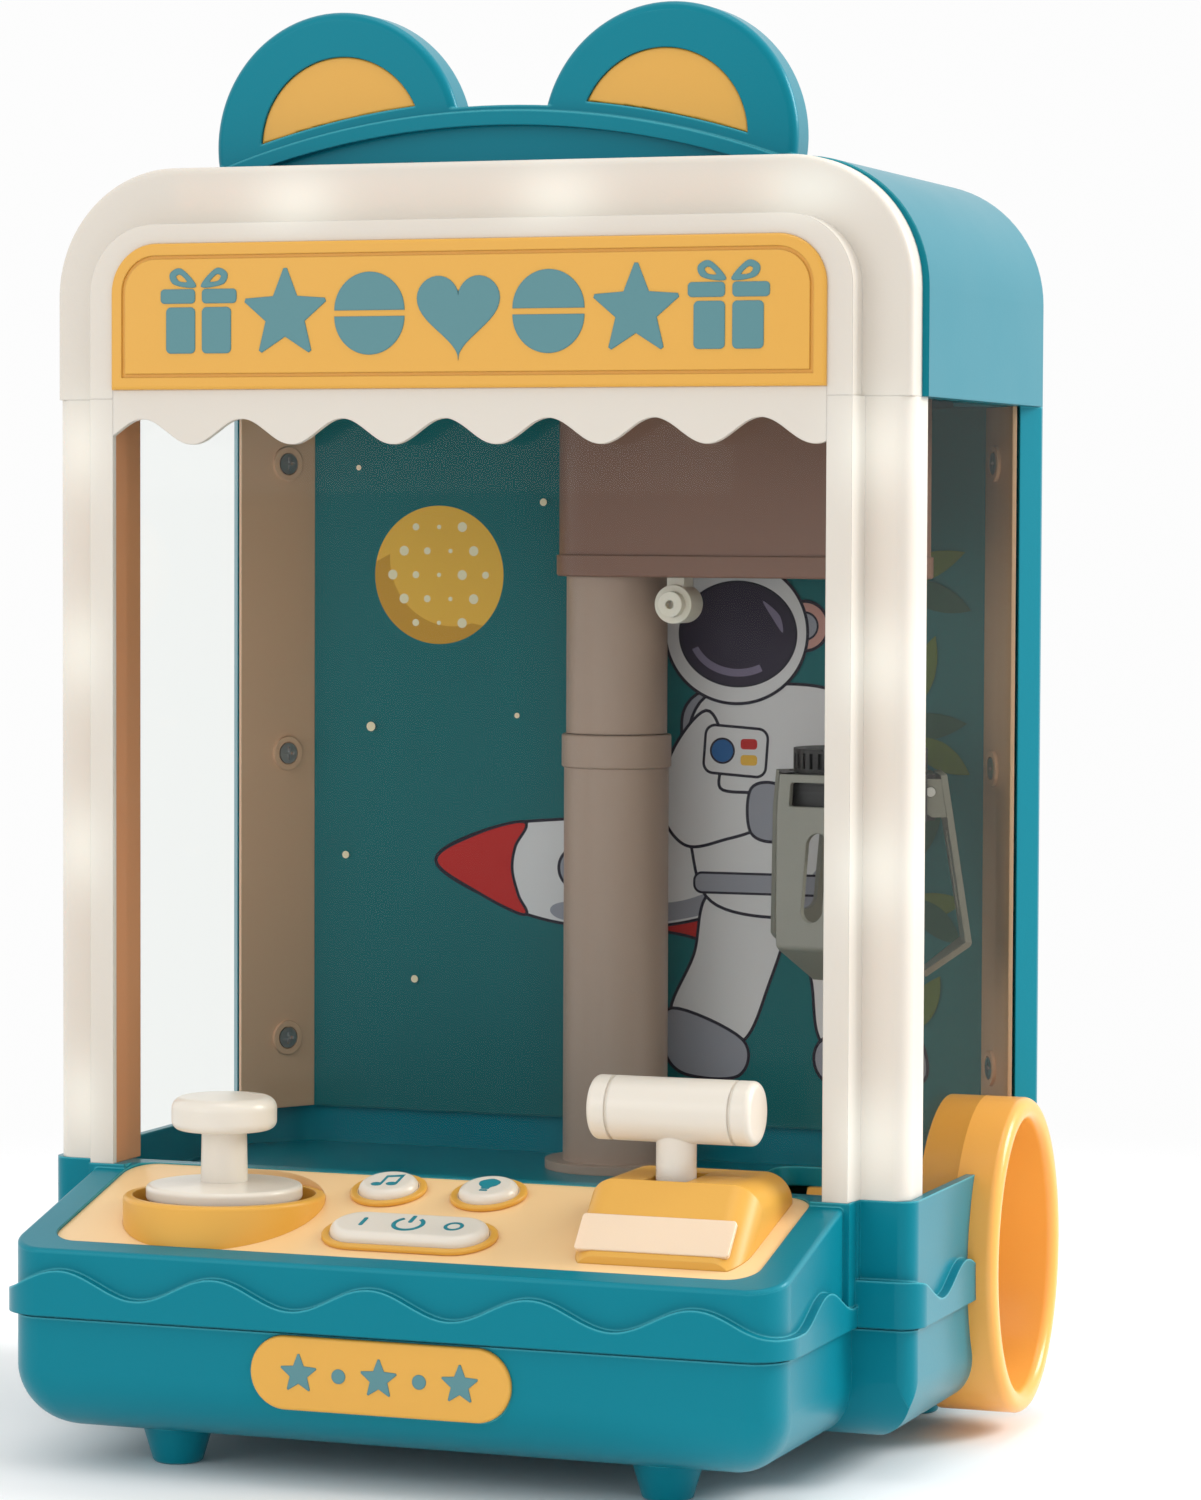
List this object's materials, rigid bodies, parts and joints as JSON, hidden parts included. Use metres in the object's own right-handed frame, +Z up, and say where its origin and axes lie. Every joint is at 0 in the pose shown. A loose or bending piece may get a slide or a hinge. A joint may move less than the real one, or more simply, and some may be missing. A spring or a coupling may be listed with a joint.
{
  "type": "toy prize-grabber claw machine",
  "caption": "Table-top toy claw machine: clear cabinet under an eared roof, slewing arm with three-finger claw, prize tray, side chute and a sloping console with joystick, T-lever and buttons.",
  "frame": {"origin": "centre of the whole bounding box on the floor plane under the feet", "axes": "+Z up, -Y towards the player at the console, +X towards the side with the prize outlet ring"},
  "size_m": [0.2538, 0.203, 0.3825],
  "materials": {
    "teal_plastic": "satin moulded",
    "cream_plastic": "satin moulded",
    "tan_plastic": "matte moulded",
    "orange_plastic": "satin moulded",
    "deck_plastic": "satin moulded",
    "white_plastic": "satin moulded",
    "tinted_plastic": "gloss moulded",
    "clear_plastic": "clear moulded",
    "taupe_plastic": "fine texture",
    "grey_plastic": "fine texture",
    "black_plastic": "matte moulded",
    "steel": "plated",
    "nylon": "natural",
    "printed_card": "printed, satin",
    "lamp_strip": "diffuser",
    "cell_jacket": "printed sleeve",
    "board_green": "solder mask"
  },
  "bodies": {
    "base": {"arch_frame": "cream_plastic", "back_cover": "teal_plastic", "backdrop": "printed_card", "base_collar": "teal_plastic", "base_screws": "steel", "base_tub": "teal_plastic", "batteries": "cell_jacket", "battery_box": "grey_plastic", "battery_contacts": "steel", "battery_door": "teal_plastic", "chute_ring": "orange_plastic", "circuit_board": "board_green", "coin_housing": "orange_plastic", "coin_window": "tinted_plastic", "column_liner_left": "tan_plastic", "column_liner_right": "tan_plastic", "control_deck": "deck_plastic", "drop_chute": "orange_plastic", "ear_crown": "teal_plastic", "ear_inserts": "orange_plastic", "feet": "teal_plastic", "front_column_left": "cream_plastic", "front_column_right": "cream_plastic", "front_window": "clear_plastic", "joystick_socket": "orange_plastic", "led_strips": "lamp_strip", "lever_pin": "steel", "loudspeaker": "black_plastic", "mast_collar": "taupe_plastic", "mast_lower_tube": "taupe_plastic", "name_badge": "orange_plastic", "pillar_screws": "steel", "prize_tray": "teal_plastic", "rear_pillar_left": "tan_plastic", "rear_pillar_right": "tan_plastic", "roof_shell": "teal_plastic", "side_window_left": "clear_plastic", "side_window_right": "clear_plastic", "sign_panel": "orange_plastic", "slew_motor": "grey_plastic", "valance": "cream_plastic"},
    "arm": {"slew_shaft": "nylon", "mast_upper_tube": "taupe_plastic", "arm_housing": "taupe_plastic", "arm_lid": "taupe_plastic", "arm_lamp": "taupe_plastic"},
    "pinion": {"slew_pinion": "nylon"},
    "claw": {"claw_rod": "steel", "claw_hub": "black_plastic", "claw_pins": "steel"},
    "finger_front": {"claw_finger_front": "grey_plastic"},
    "finger_right": {"claw_finger_right": "grey_plastic"},
    "finger_rear": {"claw_finger_rear": "grey_plastic"},
    "gimbal": {"gimbal_ring": "nylon"},
    "stick": {"joystick": "white_plastic"},
    "t_lever": {"lever": "white_plastic"},
    "music_key": {"music_button": "white_plastic"},
    "light_key": {"light_button": "white_plastic"},
    "power_key": {"power_button": "white_plastic"}
  },
  "joints": [
    {"name": "arm_slew", "type": "hinge", "parent": "base", "child": "arm", "pos_m": [-0.0026, 0.07425, 0.231], "axis": [0, 0, 1], "range_deg": [-156.6, 0]},
    {"name": "pinion_spin", "type": "hinge", "parent": "base", "child": "pinion", "pos_m": [-0.0286, 0.07425, 0.048], "axis": [0, 0, 1], "range_deg": [-1, 353]},
    {"name": "claw_drop", "type": "slide", "parent": "arm", "child": "claw", "axis": [0, 0, -1], "range_m": [0, 0.038]},
    {"name": "grip_front", "type": "hinge", "parent": "claw", "child": "finger_front", "pos_m": [0.07155, 0.04001, 0.173], "axis": [0.9848, -0.1736, 0], "range_deg": [0, 15]},
    {"name": "grip_right", "type": "hinge", "parent": "claw", "child": "finger_right", "pos_m": [0.09214, 0.06456, 0.173], "axis": [-0.342, 0.9397, 0], "range_deg": [0, 15]},
    {"name": "grip_rear", "type": "hinge", "parent": "claw", "child": "finger_rear", "pos_m": [0.06059, 0.07012, 0.173], "axis": [-0.6428, -0.766, 0], "range_deg": [0, 15]},
    {"name": "stick_tilt_fore", "type": "hinge", "parent": "base", "child": "gimbal", "pos_m": [-0.0606, -0.06675, 0.056], "axis": [1, 0, 0], "range_deg": [-10, 10], "stiffness_Nm_per_rad": 0.05},
    {"name": "stick_tilt_side", "type": "hinge", "parent": "gimbal", "child": "stick", "pos_m": [-0.0606, -0.06675, 0.056], "axis": [0, 1, 0], "range_deg": [-10, 10], "stiffness_Nm_per_rad": 0.05},
    {"name": "lever_rock", "type": "hinge", "parent": "base", "child": "t_lever", "pos_m": [0.0631, -0.06175, 0.0715], "axis": [1, 0, 0], "range_deg": [-15, 15], "stiffness_Nm_per_rad": 0.05},
    {"name": "music_press", "type": "slide", "parent": "base", "child": "music_key", "axis": [0, 0.2598, -0.9657], "range_m": [0, 0.0016], "stiffness_N_per_m": 200},
    {"name": "light_press", "type": "slide", "parent": "base", "child": "light_key", "axis": [0, 0.2598, -0.9657], "range_m": [0, 0.0016], "stiffness_N_per_m": 200},
    {"name": "power_press", "type": "slide", "parent": "base", "child": "power_key", "axis": [0, 0.2598, -0.9657], "range_m": [0, 0.0016], "stiffness_N_per_m": 200}
  ],
  "couplings": [
    {"joint": "pinion_spin", "follows": "arm_slew", "ratio": -2.25},
    {"joint": "grip_right", "follows": "grip_front", "ratio": 1},
    {"joint": "grip_rear", "follows": "grip_front", "ratio": 1}
  ]
}
